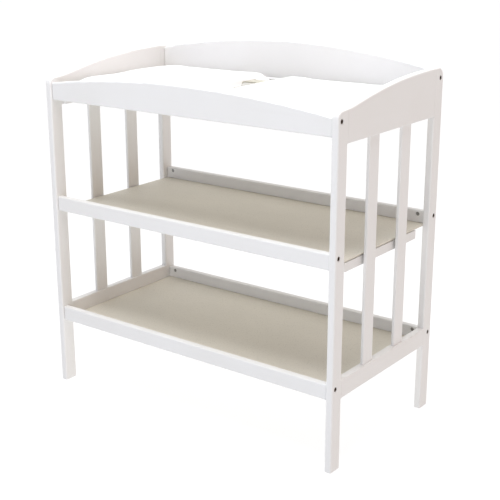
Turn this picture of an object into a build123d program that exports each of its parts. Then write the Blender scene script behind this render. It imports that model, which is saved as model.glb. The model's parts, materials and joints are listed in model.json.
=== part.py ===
from build123d import *
import os

# Changing table: a free-standing, white painted timber frame with a padded top tray and two open
# shelves. Two glued end frames (posts, arched top panel, slats, bottom rail) are bolted to six long
# rails by socket head bolts and barrel nuts. The changing pad lies loose in the tray and has a
# webbing strap with a side-release buckle.
#
# Millimetres. The origin is on the floor, in the middle of the footprint. +X is the right-hand end
# seen from the front, +Y points to the back, +Z is up.

# ---- driving dimensions ---------------------------------------------------------------------------
WIDTH = 880.0
DEPTH = 464.0
STOCK = 18.0            # thickness of posts, rails and panels
POST_DEPTH = 38.0
ROUND = 4.0             # roundover on the long edges
ARRIS = 1.5             # small easing on the other edges

HALF_W = WIDTH / 2
HALF_D = DEPTH / 2
INNER_X = HALF_W - STOCK                    # inner face of the end frames
INNER_Y = HALF_D - POST_DEPTH               # faces of the posts that look at each other
FRAME_X = HALF_W - STOCK / 2                # middle of an end frame's thickness

# End frames: the top edge rises in a shallow S from the front post to the back post.
TOP_EDGE = [(0, 834.8), (38, 837), (104, 848.3), (208, 864.8), (312, 874.6), (416, 877.8), (464, 877.8)]
FRONT_CORNER = 16.0
BACK_CORNER = 24.0
PANEL_BOTTOM = 762.5
END_RAIL_BOTTOM = 176.0
END_RAIL_TOP = 221.5
SLAT_WIDTH = 42.0
SLAT_THICK = 8.0
SLAT_CENTRES = [-72.5, 71.0]                # two slats, three nearly equal gaps
MORTISE = 12.0
HAIRLINE = 0.5          # depth of the line that shows at each glued joint
END_LINE_WIDE = 1.8     # shallow step at each end of a long rail's faces
END_LINE_DEEP = 2.4

# Long rails between the end frames
RAIL_HEIGHT = 38.0
RAIL_SET_BACK = 4.5                         # behind the outer faces of the posts
RAIL_FACE_Y = HALF_D - RAIL_SET_BACK - STOCK    # inner faces of the front and back rails
RAIL_MID_Y = RAIL_FACE_Y + STOCK / 2
LOW_RAIL_Z = 177.5
MID_RAIL_Z = 485.0
TOP_RAIL_Z = 778.0
FRONT_RAIL_END_Z = 822.0
FRONT_RAIL_CROWN_Z = 851.5
BACK_PANEL_END_Z = 870.5
BACK_PANEL_CROWN_Z = 913.0

# Boards, held in grooves in the long rails
GROOVE_DEPTH = 6.0
GROOVE_LIP = 4.0                            # timber below the groove
ABOVE_GROOVE = 14.0                         # from a rail's bottom edge to clear of its groove
SHELF_THICK = 3.0
TOP_BOARD_THICK = 6.0
BOARD_CLEAR = 0.1                           # below a board, in its groove
BOARD_CLEAR_ABOVE = 0.7
BOARD_END_X = INNER_X - 0.5
BATTEN_THICK = 15.0
BATTEN_HEIGHT = 24.0
REBATE_DEEP = 6.0                           # shadow line between batten and board
REBATE_HIGH = 2.4
BATTEN_FRONT_Y = -164.0
BATTEN_BACK_Y = 162.0
CLEAT_THICK = 12.0
CLEAT_HEIGHT = 18.0

# Knock-down fittings
BOLT_R = 3.0
BOLT_BORE_R = 3.3
BOLT_LENGTH = 45.0
HEAD_R = 5.0
HEAD_HEIGHT = 6.0
HEAD_SINK = 1.0                             # the head lies this far under the post's face
COUNTERBORE_R = 5.5
SOCKET_ACROSS = 5.0
BARREL_R = 5.0
BARREL_LENGTH = 14.0
BARREL_INSET = 22.0                         # from the rail's end to the barrel nut's axis
BARREL_BELOW_FACE = 0.8
BOLT_BELOW_TOP = 9.0                        # bolt axis under the top edge of a straight rail
DOWEL_R = 4.0
DOWEL_CLEAR = 0.05
DOWEL_BELOW_BOLT = 16.0
FRONT_TOP_BOLT_Z = 813.0
BACK_TOP_BOLT_Z = 853.0
SCREW_R = 1.75
SCREW_HEAD_R = 3.6

# Pad, strap and buckle
PAD_GAP_X = 4.0
PAD_GAP_Y = 5.5
PAD_EDGE_HEIGHT = 27.0
PAD_CROWN_HEIGHT = 40.0
PAD_CORNER = 22.0
REST_GAP = 0.3
CHANNEL_WIDTH = 60.0
STRAP_WIDTH = 38.0
STRAP_THICK = 2.0
BUCKLE_Y = 62.0                             # where the two buckle halves meet
BUCKLE_WIDTH = 56.0
BUCKLE_HEIGHT = 11.0
BODY_LENGTH = 40.0
TONGUE_BASE = 15.0
PRONG_LENGTH = 26.0
BAR_WIDTH = 4.5
BAR_THICK = 4.0
SLOT_WIDTH = 4.0

SHELF_LOW_Z = LOW_RAIL_Z + GROOVE_LIP       # undersides of the boards
SHELF_MID_Z = MID_RAIL_Z + GROOVE_LIP
TOP_BOARD_Z = TOP_RAIL_Z + GROOVE_LIP
PAD_Z = TOP_BOARD_Z + TOP_BOARD_THICK + REST_GAP
PAD_HALF_X = INNER_X - PAD_GAP_X
PAD_HALF_Y = RAIL_FACE_Y - PAD_GAP_Y
CHANNEL_Z = PAD_Z + PAD_EDGE_HEIGHT + 3.0   # top of the pad beside the strap
STRAP_BED_Z = PAD_Z + PAD_EDGE_HEIGHT - 1   # where the pad is pressed down under the strap
STRAP_Z = STRAP_BED_Z + REST_GAP
BARREL_X = INNER_X - BARREL_INSET
DOWEL_HOLE_R = DOWEL_R + DOWEL_CLEAR


# ---- helpers --------------------------------------------------------------------------------------
def block(x0, x1, y0, y1, z0, z1):
    """A box between two corners, given in any order."""
    size = (abs(x1 - x0), abs(y1 - y0), abs(z1 - z0))
    return Pos((x0 + x1) / 2, (y0 + y1) / 2, (z0 + z1) / 2) * Box(*size)


def rod(axis, start, length, radius):
    """A cylinder from the start point along +X, -X, +Y, -Y or +Z."""
    turn = {"+X": (0, 90, 0), "-X": (0, -90, 0), "+Y": (-90, 0, 0), "-Y": (90, 0, 0), "+Z": (0, 0, 0)}
    low = (Align.CENTER, Align.CENTER, Align.MIN)
    return Pos(*start) * Rot(*turn[axis]) * Cylinder(radius, length, align=low)


def write(name, shape):
    """Write one node; a list becomes a group of separate solids."""
    if isinstance(shape, list):
        shape = Compound(children=shape)
    shape.label = name
    export_step(shape, f"parts/{name}.step")


def corner_cutter(x, y, z0, z1, into_x, into_y, radius):
    """What a roundover takes off an upright edge at x, y; into_x and into_y point into the timber."""
    square = block(x, x + into_x * radius, y, y + into_y * radius, z0, z1)
    core = rod("+Z", (x + into_x * radius, y + into_y * radius, z0), z1 - z0, radius)
    return square - core


# ---- end frames -----------------------------------------------------------------------------------
def under_top_edge(x0, x1):
    """Everything below the S-shaped top edge of an end frame, between two X planes."""
    points = [(y - HALF_D, z) for y, z in TOP_EDGE]
    with BuildSketch(Plane.YZ.offset(min(x0, x1))) as outline:
        with BuildLine():
            top = Spline(*points, tangents=[(1, 0.03), (1, 0)])
            Polyline(top @ 1, (HALF_D, -1), (-HALF_D, -1), top @ 0)
        make_face()
    return extrude(outline.sketch, abs(x1 - x0))


def bolt_heights(end):
    """Heights of the three bolts of a front (-1) or back (+1) post."""
    top = FRONT_TOP_BOLT_Z if end < 0 else BACK_TOP_BOLT_Z
    return [LOW_RAIL_Z + RAIL_HEIGHT - BOLT_BELOW_TOP, MID_RAIL_Z + RAIL_HEIGHT - BOLT_BELOW_TOP, top]


def frame_dowel_spots(end):
    """Y of the glued joint and the heights of the dowels that hold panel and bottom rail to a post."""
    upper = [778.0, 812.0] if end < 0 else [778.0, 818.0, 852.0]
    return end * INNER_Y, [187.0, 210.0] + upper


def post(side, end):
    """A post: side is -1 left or +1 right, end is -1 front or +1 back."""
    outer_x, inner_x = side * HALF_W, side * INNER_X
    face_y, joint_y = end * HALF_D, end * INNER_Y
    timber = block(inner_x, outer_x, joint_y, face_y, 0, 900) & under_top_edge(inner_x, outer_x)
    corner = timber.edges().filter_by(Axis.X).filter_by(lambda e: e.center().Z > 800)
    corner = corner.sort_by(lambda e: end * e.center().Y)[-1]
    timber = fillet(corner, FRONT_CORNER if end < 0 else BACK_CORNER)
    outer = timber.edges().filter_by(lambda e: abs(e.center().X - outer_x) < 0.01 or
                                     abs(e.center().X - inner_x) < 0.01)
    outer = outer.filter_by(lambda e: e.center().Z > 1 and end * e.center().Y > INNER_Y + 1)
    timber = fillet(outer, ROUND)
    for z0, z1 in [(0, END_RAIL_BOTTOM), (END_RAIL_TOP, PANEL_BOTTOM)]:
        timber -= corner_cutter(inner_x, joint_y, z0, z1, side, end, ROUND)
        timber -= corner_cutter(outer_x, joint_y, z0, z1, -side, end, ROUND)
    timber = chamfer(timber.faces().sort_by(Axis.Z)[0].edges(), ARRIS)
    inward = "+X" if side < 0 else "-X"
    outward = "-X" if side < 0 else "+X"
    for z in bolt_heights(end):
        hole_y = end * RAIL_MID_Y
        timber -= rod(inward, (outer_x, hole_y, z), STOCK + 1, BOLT_BORE_R)
        timber -= rod(inward, (outer_x, hole_y, z), HEAD_HEIGHT + HEAD_SINK, COUNTERBORE_R)
        timber -= Pos(outer_x - side * 0.5, hole_y, z) * Rot(0, side * 90, 0) * \
            Cone(COUNTERBORE_R, COUNTERBORE_R + 1, 1)
        timber -= rod(outward, (inner_x, hole_y, z - DOWEL_BELOW_BOLT), 12.5, DOWEL_HOLE_R)
    joint, heights = frame_dowel_spots(end)
    for z in heights:
        timber -= rod("-Y" if end < 0 else "+Y", (side * FRAME_X, joint, z), 16.5, DOWEL_HOLE_R)
    return timber


def slat_mortise(side, y, z0, z1):
    """The pocket for a slat's end."""
    half = SLAT_WIDTH / 2 + 0.1
    x = side * FRAME_X
    return block(x - SLAT_THICK / 2 - 0.1, x + SLAT_THICK / 2 + 0.1, y - half, y + half, z0, z1)


def end_dowel_holes(side):
    """Holes in the ends of the top panel and bottom rail for the dowels of the glued joints."""
    holes = []
    for end in (-1, 1):
        joint, heights = frame_dowel_spots(end)
        for z in heights:
            holes.append(rod("+Y" if end < 0 else "-Y", (side * FRAME_X, joint, z), 20.5, DOWEL_HOLE_R))
    return holes


def hairlines(side, z0, z1_front, z1_back):
    """What eased arrises take off the ends of a panel or rail, so that each glued joint reads as a line."""
    cuts = []
    for end, z1 in ((-1, z1_front), (1, z1_back)):
        y0, y1 = end * (INNER_Y - HAIRLINE), end * (INNER_Y + 1)
        for face, inward in ((side * HALF_W, -side), (side * INNER_X, side)):
            cuts.append(block(face - inward, face + inward * HAIRLINE, y0, y1, z0, z1))
    return cuts


def top_panel(side):
    """The arched panel at the top of an end frame; its top edge runs on from the posts."""
    x0, x1 = side * INNER_X, side * HALF_W
    timber = block(x0, x1, -INNER_Y, INNER_Y, PANEL_BOTTOM, 900) & under_top_edge(x0, x1)
    long_edges = timber.edges().filter_by(lambda e: abs(e.center().Y) < INNER_Y - 10)
    timber = fillet(long_edges.filter_by(lambda e: e.center().Z > PANEL_BOTTOM + 20), ROUND)
    low = timber.edges().filter_by(Axis.Y).group_by(Axis.Z)[0]
    timber = fillet(low, 2.0)
    for y in SLAT_CENTRES:
        timber -= slat_mortise(side, y, PANEL_BOTTOM - 1, PANEL_BOTTOM + MORTISE)
    front_top, back_top = TOP_EDGE[1][1] - ROUND - 1, TOP_EDGE[-1][1] - ROUND - 1
    return timber - end_dowel_holes(side) - hairlines(side, PANEL_BOTTOM + 3, front_top, back_top)


def bottom_rail(side):
    """The rail between the posts of an end frame, beside the low shelf."""
    timber = block(side * INNER_X, side * HALF_W, -INNER_Y, INNER_Y, END_RAIL_BOTTOM, END_RAIL_TOP)
    timber = fillet(timber.edges().filter_by(Axis.Y), 2.5)
    for y in SLAT_CENTRES:
        timber -= slat_mortise(side, y, END_RAIL_TOP - MORTISE, END_RAIL_TOP + 1)
    return timber - end_dowel_holes(side) - hairlines(side, END_RAIL_BOTTOM - 1, END_RAIL_TOP + 1,
                                                     END_RAIL_TOP + 1)


def slat(side, y):
    """A flat upright slat, let into the bottom rail and the top panel."""
    x, half = side * FRAME_X, SLAT_WIDTH / 2
    z0, z1 = END_RAIL_TOP - MORTISE + 0.5, PANEL_BOTTOM + MORTISE - 0.5
    timber = block(x - SLAT_THICK / 2, x + SLAT_THICK / 2, y - half, y + half, z0, z1)
    return fillet(timber.edges().filter_by(Axis.Z), 2.0)


def end_frame_dowels():
    """All the glued dowels of both end frames."""
    dowels = []
    for side in (-1, 1):
        for end in (-1, 1):
            joint, heights = frame_dowel_spots(end)
            for z in heights:
                start = (side * FRAME_X, joint + end * 16, z)
                dowels.append(rod("+Y" if end < 0 else "-Y", start, 36, DOWEL_R))
    return dowels


# ---- long rails -----------------------------------------------------------------------------------
def drill_rail_ends(timber, y, z, barrel_face_y, barrel_way):
    """Bolt bore, barrel nut hole and dowel hole at both ends of a long rail."""
    for side in (-1, 1):
        inward = "+X" if side < 0 else "-X"
        timber -= rod(inward, (side * INNER_X, y, z), BARREL_INSET + 15, BOLT_BORE_R)
        timber -= rod(inward, (side * INNER_X, y, z - DOWEL_BELOW_BOLT), 18.5, DOWEL_HOLE_R)
        depth = BARREL_LENGTH + BARREL_BELOW_FACE
        timber -= rod(barrel_way, (side * BARREL_X, barrel_face_y, z), depth, BARREL_R + 0.1)
    return timber


def ease_front(timber, outer_y, inner_y):
    """Round the show edges of a rail and ease the edges of its inner face."""
    show = timber.edges().filter_by(lambda e: abs(e.center().Y - outer_y) < 0.01)
    timber = fillet(show, ROUND)
    inner_top = timber.edges().filter_by(lambda e: abs(e.center().Y - inner_y) < 0.01)
    upper = inner_top.filter_by(lambda e: e.length > 500).sort_by(Axis.Z)[-1]
    timber = fillet(upper, ROUND - 0.5)
    lower = timber.edges().filter_by(lambda e: abs(e.center().Y - inner_y) < 0.01 and e.length > 500)
    return fillet(lower.sort_by(Axis.Z)[0], ARRIS)


def end_lines(timber, outer_y, inner_y, z0, z1):
    """Step back the ends of a rail's two faces, so that each bolted joint shows as a fine line."""
    into = END_LINE_DEEP if inner_y > outer_y else -END_LINE_DEEP
    for side in (-1, 1):
        x0, x1 = side * (INNER_X - END_LINE_WIDE), side * (INNER_X + 1)
        timber -= block(x0, x1, outer_y - into, outer_y + into, z0 + ROUND + 1, z1 - ROUND - 1)
        timber -= block(x0, x1, inner_y + into, inner_y - into, z0 + ABOVE_GROOVE, z1 - ROUND - 1)
    return timber


def groove(z, thick):
    """The groove for a board in the inner face of a front rail."""
    return block(-INNER_X - 1, INNER_X + 1, -RAIL_FACE_Y - GROOVE_DEPTH, -RAIL_FACE_Y + 1,
                 z - BOARD_CLEAR, z + thick + BOARD_CLEAR_ABOVE)


def straight_front_rail(z):
    """A front rail of a shelf, with its lowest edge at height z."""
    outer_y, inner_y = -HALF_D + RAIL_SET_BACK, -RAIL_FACE_Y
    timber = block(-INNER_X, INNER_X, outer_y, inner_y, z, z + RAIL_HEIGHT)
    timber = ease_front(timber, outer_y, inner_y)
    timber = end_lines(timber, outer_y, inner_y, z, z + RAIL_HEIGHT)
    timber -= groove(z + GROOVE_LIP, SHELF_THICK)
    return drill_rail_ends(timber, -RAIL_MID_Y, z + RAIL_HEIGHT - BOLT_BELOW_TOP, inner_y, "-Y")


def arched_blank(y0, y1, end_z, crown_z):
    """A board on edge with a flat bottom and a top edge that is one shallow arc."""
    with BuildSketch(Plane.XZ.offset(-y1)) as outline:
        with BuildLine():
            top = ThreePointArc((-INNER_X, end_z), (0, crown_z), (INNER_X, end_z))
            Polyline(top @ 1, (INNER_X, TOP_RAIL_Z), (-INNER_X, TOP_RAIL_Z), top @ 0)
        make_face()
    return extrude(outline.sketch, y1 - y0)


def top_front_rail():
    """The arched rail in front of the pad."""
    outer_y, inner_y = -HALF_D + RAIL_SET_BACK, -RAIL_FACE_Y
    timber = arched_blank(outer_y, inner_y, FRONT_RAIL_END_Z, FRONT_RAIL_CROWN_Z)
    timber = ease_front(timber, outer_y, inner_y)
    timber = end_lines(timber, outer_y, inner_y, TOP_RAIL_Z, FRONT_RAIL_END_Z)
    timber -= groove(TOP_BOARD_Z, TOP_BOARD_THICK)
    return drill_rail_ends(timber, -RAIL_MID_Y, FRONT_TOP_BOLT_Z, inner_y, "-Y")


def top_back_panel():
    """The tall arched panel behind the pad; its barrel nuts go in from the rear face."""
    outer_y, inner_y = HALF_D - RAIL_SET_BACK, RAIL_FACE_Y
    timber = arched_blank(inner_y, outer_y, BACK_PANEL_END_Z, BACK_PANEL_CROWN_Z)
    timber = ease_front(timber, outer_y, inner_y)
    timber = end_lines(timber, outer_y, inner_y, TOP_RAIL_Z, BACK_PANEL_END_Z)
    timber -= mirror(groove(TOP_BOARD_Z, TOP_BOARD_THICK), about=Plane.XZ)
    return drill_rail_ends(timber, RAIL_MID_Y, BACK_TOP_BOLT_Z, outer_y, "-Y")


# ---- boards ---------------------------------------------------------------------------------------
def board(z, thick):
    """A thin board whose long edges sit in the grooves."""
    half_y = RAIL_FACE_Y + GROOVE_DEPTH - 0.5
    return block(-BOARD_END_X, BOARD_END_X, -half_y, half_y, z, z + thick)


def batten(side):
    """The stiffener glued under one end of the middle shelf."""
    x1 = side * BOARD_END_X
    timber = block(x1 - side * BATTEN_THICK, x1, BATTEN_FRONT_Y, BATTEN_BACK_Y,
                   SHELF_MID_Z - BATTEN_HEIGHT, SHELF_MID_Z)
    timber = fillet(timber.edges().filter_by(Axis.X), 3.0)
    return timber - block(x1 + side, x1 - side * REBATE_DEEP, BATTEN_FRONT_Y - 1, BATTEN_BACK_Y + 1,
                          SHELF_MID_Z - REBATE_HIGH, SHELF_MID_Z + 1)


def cleat_screw_spots():
    """Y of the three screws in each cleat, and their height."""
    return [-140.0, 0.0, 140.0], TOP_BOARD_Z - CLEAT_HEIGHT / 2


def cleat(side):
    """The ledge screwed to a top panel that carries one end of the top board."""
    x0, x1 = side * (INNER_X - CLEAT_THICK), side * INNER_X
    timber = block(x0, x1, -INNER_Y + 4, INNER_Y - 4, TOP_BOARD_Z - CLEAT_HEIGHT, TOP_BOARD_Z)
    timber = chamfer(timber.edges().filter_by(Axis.Y).sort_by(Axis.Z)[0:2], 1.0)
    spots, z = cleat_screw_spots()
    outward = "-X" if side < 0 else "+X"
    for y in spots:
        timber -= rod(outward, (x0, y, z), CLEAT_THICK, SCREW_R + 0.15)
        timber -= Pos(x0 + side * 1.4, y, z) * Rot(0, -side * 90, 0) * \
            Cone(SCREW_R + 0.3, SCREW_HEAD_R + 0.4, 2.8)
    return timber


def cleat_screws():
    """Countersunk screws, three in each cleat, that run on into the top panels."""
    spots, z = cleat_screw_spots()
    screws = []
    for side in (-1, 1):
        head_x = side * (INNER_X - CLEAT_THICK)
        for y in spots:
            shank = rod("-X" if side < 0 else "+X", (head_x + side * 2, y, z), CLEAT_THICK + 9, SCREW_R)
            head = Pos(head_x + side * 1.45, y, z) * Rot(0, -side * 90, 0) * Cone(SCREW_R, SCREW_HEAD_R, 2.5)
            cross = block(head_x, head_x + side * 1.4, y - 2, y + 2, z - 0.45, z + 0.45)
            cross += block(head_x, head_x + side * 1.4, y - 0.45, y + 0.45, z - 2, z + 2)
            screws.append(shank + head - cross)
    return screws


def drill_screw_pilots(panel, side):
    """Pilot holes for the cleat's screws in the inner face of a top panel."""
    spots, z = cleat_screw_spots()
    for y in spots:
        panel -= rod("-X" if side < 0 else "+X", (side * INNER_X, y, z), 11.5, SCREW_R + 0.05)
    return panel


# ---- fittings -------------------------------------------------------------------------------------
def joint_spots():
    """Side, Y, bolt height and barrel nut direction of each of the twelve bolted joints."""
    spots = []
    for side in (-1, 1):
        for end in (-1, 1):
            low, mid, top = bolt_heights(end)
            for z in (low, mid):
                spots.append((side, end * RAIL_MID_Y, z, end * RAIL_FACE_Y, end))
            barrel_face = -RAIL_FACE_Y if end < 0 else HALF_D - RAIL_SET_BACK
            spots.append((side, end * RAIL_MID_Y, top, barrel_face, -1))
    return spots


def frame_bolt(side, y, z):
    """A socket head bolt from the outer face of a post into its barrel nut."""
    seat_x = side * (HALF_W - HEAD_SINK - HEAD_HEIGHT)
    inward, outward = ("+X", "-X") if side < 0 else ("-X", "+X")
    head = rod(outward, (seat_x, y, z), HEAD_HEIGHT, HEAD_R)
    head = fillet(head.edges().sort_by(Axis.X)[0 if side < 0 else -1], 0.8)
    shank = rod(inward, (seat_x, y, z), BOLT_LENGTH, BOLT_R)
    socket = Pos(seat_x + side * (HEAD_HEIGHT - 1.5), y, z) * Rot(0, 90, 0) * \
        extrude(RegularPolygon(SOCKET_ACROSS / 2, 6, major_radius=False), 1.6, both=True)
    return head + shank - socket


def barrel_nut(side, z, face_y, way):
    """A cross dowel with a slot across its visible end; way is +1 or -1 along Y, into the rail."""
    start = (side * BARREL_X, face_y + way * BARREL_BELOW_FACE, z)
    nut = rod("+Y" if way > 0 else "-Y", start, BARREL_LENGTH, BARREL_R)
    nut = chamfer(nut.edges().filter_by(GeomType.CIRCLE), 0.5)
    mid_y = RAIL_MID_Y if face_y > 0 else -RAIL_MID_Y
    nut -= rod("+X", (side * BARREL_X - 8, mid_y, z), 16, BOLT_R + 0.05)
    x, y = side * BARREL_X, start[1]
    return nut - block(x - 6, x + 6, y - 1, y + way * 1.2, z - 0.7, z + 0.7)


def rail_dowels():
    """The dowels beside the bolts, which stop the long rails from turning."""
    dowels = []
    for side, y, z, _, _ in joint_spots():
        start = (side * (INNER_X + 12), y, z - DOWEL_BELOW_BOLT)
        dowels.append(rod("+X" if side < 0 else "-X", start, 30, DOWEL_R))
    return dowels


# ---- pad, strap and buckle ------------------------------------------------------------------------
def changing_pad():
    """The pad: flat below, crowned on each side of the channel in which the strap pulls it down."""
    with BuildSketch(Plane.XY.offset(PAD_Z)) as plan:
        RectangleRounded(2 * PAD_HALF_X, 2 * PAD_HALF_Y, PAD_CORNER)
    pad = extrude(plan.sketch, PAD_CROWN_HEIGHT)
    half, wide = CHANNEL_WIDTH / 2, PAD_HALF_X + 20
    edge_z, crown_z = PAD_Z + PAD_EDGE_HEIGHT - 1, PAD_Z + PAD_CROWN_HEIGHT - 0.5
    with BuildSketch(Plane.XZ.offset(-PAD_HALF_Y - 5)) as crown:
        with BuildLine():
            right = ThreePointArc((half, CHANNEL_Z), ((half + wide) / 2, crown_z), (wide, edge_z))
            Polyline(right @ 1, (wide, PAD_Z - 5), (-wide, PAD_Z - 5), (-wide, edge_z))
            left = ThreePointArc((-wide, edge_z), (-(half + wide) / 2, crown_z), (-half, CHANNEL_Z))
            Line(left @ 1, right @ 0)
        make_face()
    pad &= extrude(crown.sketch, 2 * PAD_HALF_Y + 10)
    for end in (-1, 1):
        pad -= corner_wedge(end, PAD_Z + PAD_EDGE_HEIGHT, 40, PAD_CROWN_HEIGHT - PAD_EDGE_HEIGHT + 1)
    slot = BUCKLE_WIDTH / 2 - 2
    return pad - block(-slot, slot, -PAD_HALF_Y - 9, PAD_HALF_Y + 9, STRAP_BED_Z, 900)


def corner_wedge(end, z, run, rise):
    """A long wedge that slopes the pad's top down to its front (-1) or back (+1) edge."""
    edge_y = end * (PAD_HALF_Y + 0.5)
    outline = Polyline((edge_y, z), (edge_y - end * run, z + rise), (edge_y + end * 9, z + rise),
                       (edge_y + end * 9, z - 3), (edge_y, z))
    face = make_face(Plane.YZ.offset(-PAD_HALF_X - 5) * outline)
    return extrude(face, 2 * PAD_HALF_X + 10, dir=(1, 0, 0))


def strap_half(end):
    """Webbing from the lower edge of the pad, up its face and over its top to the buckle."""
    half = STRAP_WIDTH / 2
    outer_y = end * (PAD_HALF_Y + REST_GAP)
    if end < 0:
        stop_y = BUCKLE_Y - TONGUE_BASE - 20
    else:
        stop_y = BUCKLE_Y + BODY_LENGTH + 0.5
    over = block(-half, half, stop_y, outer_y + end * STRAP_THICK, STRAP_Z, STRAP_Z + STRAP_THICK)
    down = block(-half, half, outer_y, outer_y + end * STRAP_THICK, PAD_Z + 3, STRAP_Z + STRAP_THICK)
    webbing = over + down
    corner = webbing.edges().filter_by(Axis.X).sort_by(lambda e: end * e.center().Y + e.center().Z)[-1]
    return fillet(corner, 1.8)


def thin_bar(half_buckle, end_y, way, z0, z1):
    """Cut the webbing slot and leave a bar, thinned above and below, along the end at end_y."""
    wide = STRAP_WIDTH / 2 + 0.5
    half_buckle -= block(-wide, wide, end_y + way * BAR_WIDTH, end_y + way * (BAR_WIDTH + SLOT_WIDTH),
                         z0 - 1, z1 + 1)
    middle = (z0 + z1) / 2
    for low, high in ((z0 - 1, middle - BAR_THICK / 2), (middle + BAR_THICK / 2, z1 + 1)):
        half_buckle -= block(-wide, wide, end_y - way * 1, end_y + way * (BAR_WIDTH + 0.1), low, high)
    return half_buckle


def buckle_body():
    """The female half: a flat shell, open towards the front, with side windows and a webbing bar."""
    half, z0 = BUCKLE_WIDTH / 2, STRAP_Z
    z1 = z0 + BUCKLE_HEIGHT
    y0, y1 = BUCKLE_Y, BUCKLE_Y + BODY_LENGTH
    shell = block(-half + 4, half - 4, y0, y1, z0, z1)
    shell = fillet(shell.edges().filter_by(Axis.Z), 5.0)
    shell = fillet(shell.edges().group_by(Axis.Z)[-1], 2.5)
    shell -= block(-half + 6.5, half - 6.5, y0 - 1, y0 + PRONG_LENGTH + 1, z0 + 2.2, z1 - 2.2)
    for side in (-1, 1):
        shell -= block(side * (half - 8), side * half, y0 + 13, y0 + PRONG_LENGTH - 1, z0 + 2.2, z1 - 2.2)
    return thin_bar(shell, y1, -1, z0, z1)


def buckle_tongue():
    """The male half: a base with a webbing slot, two side prongs and a middle guide."""
    half, z0 = BUCKLE_WIDTH / 2, STRAP_Z
    z1 = z0 + BUCKLE_HEIGHT
    y0 = BUCKLE_Y - TONGUE_BASE
    base = block(-half + 4, half - 4, y0, BUCKLE_Y - 0.3, z0, z1)
    base = fillet(base.edges().filter_by(Axis.Z), 4.0)
    base = fillet(base.edges().group_by(Axis.Z)[-1], 2.5)
    base = thin_bar(base, y0, 1, z0, z1)
    low, high = z0 + 2.5, z1 - 2.5
    for side in (-1, 1):
        x0, x1 = side * (half - 6.8), side * (half - 11.3)
        base += fillet(block(x0, x1, BUCKLE_Y - 2, BUCKLE_Y + PRONG_LENGTH, low, high)
                       .edges().filter_by(Axis.Z).group_by(Axis.Y)[-1], 1.6)
    return base + block(-2.5, 2.5, BUCKLE_Y - 2, BUCKLE_Y + PRONG_LENGTH - 6, low, high)


# ---- write every node -----------------------------------------------------------------------------
os.makedirs("parts", exist_ok=True)

for side, side_name in ((-1, "left"), (1, "right")):
    write(f"{side_name}_front_post", post(side, -1))
    write(f"{side_name}_back_post", post(side, 1))
    write(f"{side_name}_top_panel", drill_screw_pilots(top_panel(side), side))
    write(f"{side_name}_bottom_rail", bottom_rail(side))
    write(f"{side_name}_front_slat", slat(side, SLAT_CENTRES[0]))
    write(f"{side_name}_back_slat", slat(side, SLAT_CENTRES[1]))
    write(f"{side_name}_shelf_batten", batten(side))
    write(f"{side_name}_top_board_cleat", cleat(side))
write("end_frame_dowels", end_frame_dowels())

for level, height in (("low", LOW_RAIL_Z), ("mid", MID_RAIL_Z)):
    front = straight_front_rail(height)
    write(f"{level}_front_rail", front)
    write(f"{level}_back_rail", mirror(front, about=Plane.XZ))
write("top_front_rail", top_front_rail())
write("top_back_panel", top_back_panel())

write("top_board", board(TOP_BOARD_Z, TOP_BOARD_THICK))
write("mid_shelf_board", board(SHELF_MID_Z, SHELF_THICK))
write("low_shelf_board", board(SHELF_LOW_Z, SHELF_THICK))

write("frame_bolts", [frame_bolt(side, y, z) for side, y, z, _, _ in joint_spots()])
write("barrel_nuts", [barrel_nut(side, z, face, way) for side, _, z, face, way in joint_spots()])
write("rail_dowels", rail_dowels())
write("cleat_screws", cleat_screws())

write("changing_pad", changing_pad())
write("strap_front_half", strap_half(-1))
write("strap_back_half", strap_half(1))
write("buckle_body", buckle_body())
write("buckle_tongue", buckle_tongue())
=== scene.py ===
"""Looks of a painted timber changing table: paint, boards, pad, webbing, fittings, light and camera."""

from __future__ import annotations

import json
import logging
import math
from dataclasses import dataclass
from enum import Enum

import bpy
import numpy as np
from mathutils import Matrix, Vector


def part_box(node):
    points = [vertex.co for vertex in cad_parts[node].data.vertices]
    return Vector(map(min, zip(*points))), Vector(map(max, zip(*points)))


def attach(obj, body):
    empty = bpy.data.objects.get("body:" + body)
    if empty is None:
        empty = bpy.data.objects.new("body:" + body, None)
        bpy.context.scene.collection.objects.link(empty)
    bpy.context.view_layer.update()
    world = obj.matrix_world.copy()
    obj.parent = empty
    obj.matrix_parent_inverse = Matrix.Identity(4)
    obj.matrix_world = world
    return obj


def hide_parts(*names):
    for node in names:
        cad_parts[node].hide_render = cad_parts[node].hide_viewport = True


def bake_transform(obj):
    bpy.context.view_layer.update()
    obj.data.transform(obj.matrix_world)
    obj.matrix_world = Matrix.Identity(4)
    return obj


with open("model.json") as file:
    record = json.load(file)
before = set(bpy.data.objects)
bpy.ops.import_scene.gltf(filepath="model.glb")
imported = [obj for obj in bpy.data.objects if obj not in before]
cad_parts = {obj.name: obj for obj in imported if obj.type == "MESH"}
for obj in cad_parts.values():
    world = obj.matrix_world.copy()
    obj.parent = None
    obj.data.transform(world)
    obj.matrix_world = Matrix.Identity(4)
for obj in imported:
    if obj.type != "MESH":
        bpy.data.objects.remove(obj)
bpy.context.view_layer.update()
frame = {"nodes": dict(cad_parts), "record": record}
MM = 0.001
BANDS_AT_SCALE_ONE = 6.28  # twice the bands that a wave of scale 1 has in a metre, near enough

logging.basicConfig(level=logging.INFO, format="%(message)s")
LOG = logging.getLogger("changing_table")

Colour = tuple[float, float, float, float]


class Grain(Enum):
    """The axis along which a timber's grain runs."""

    ACROSS = 0
    DEEP = 1
    UPRIGHT = 2


# ---- materials --------------------------------------------------------------------------------------


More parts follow.
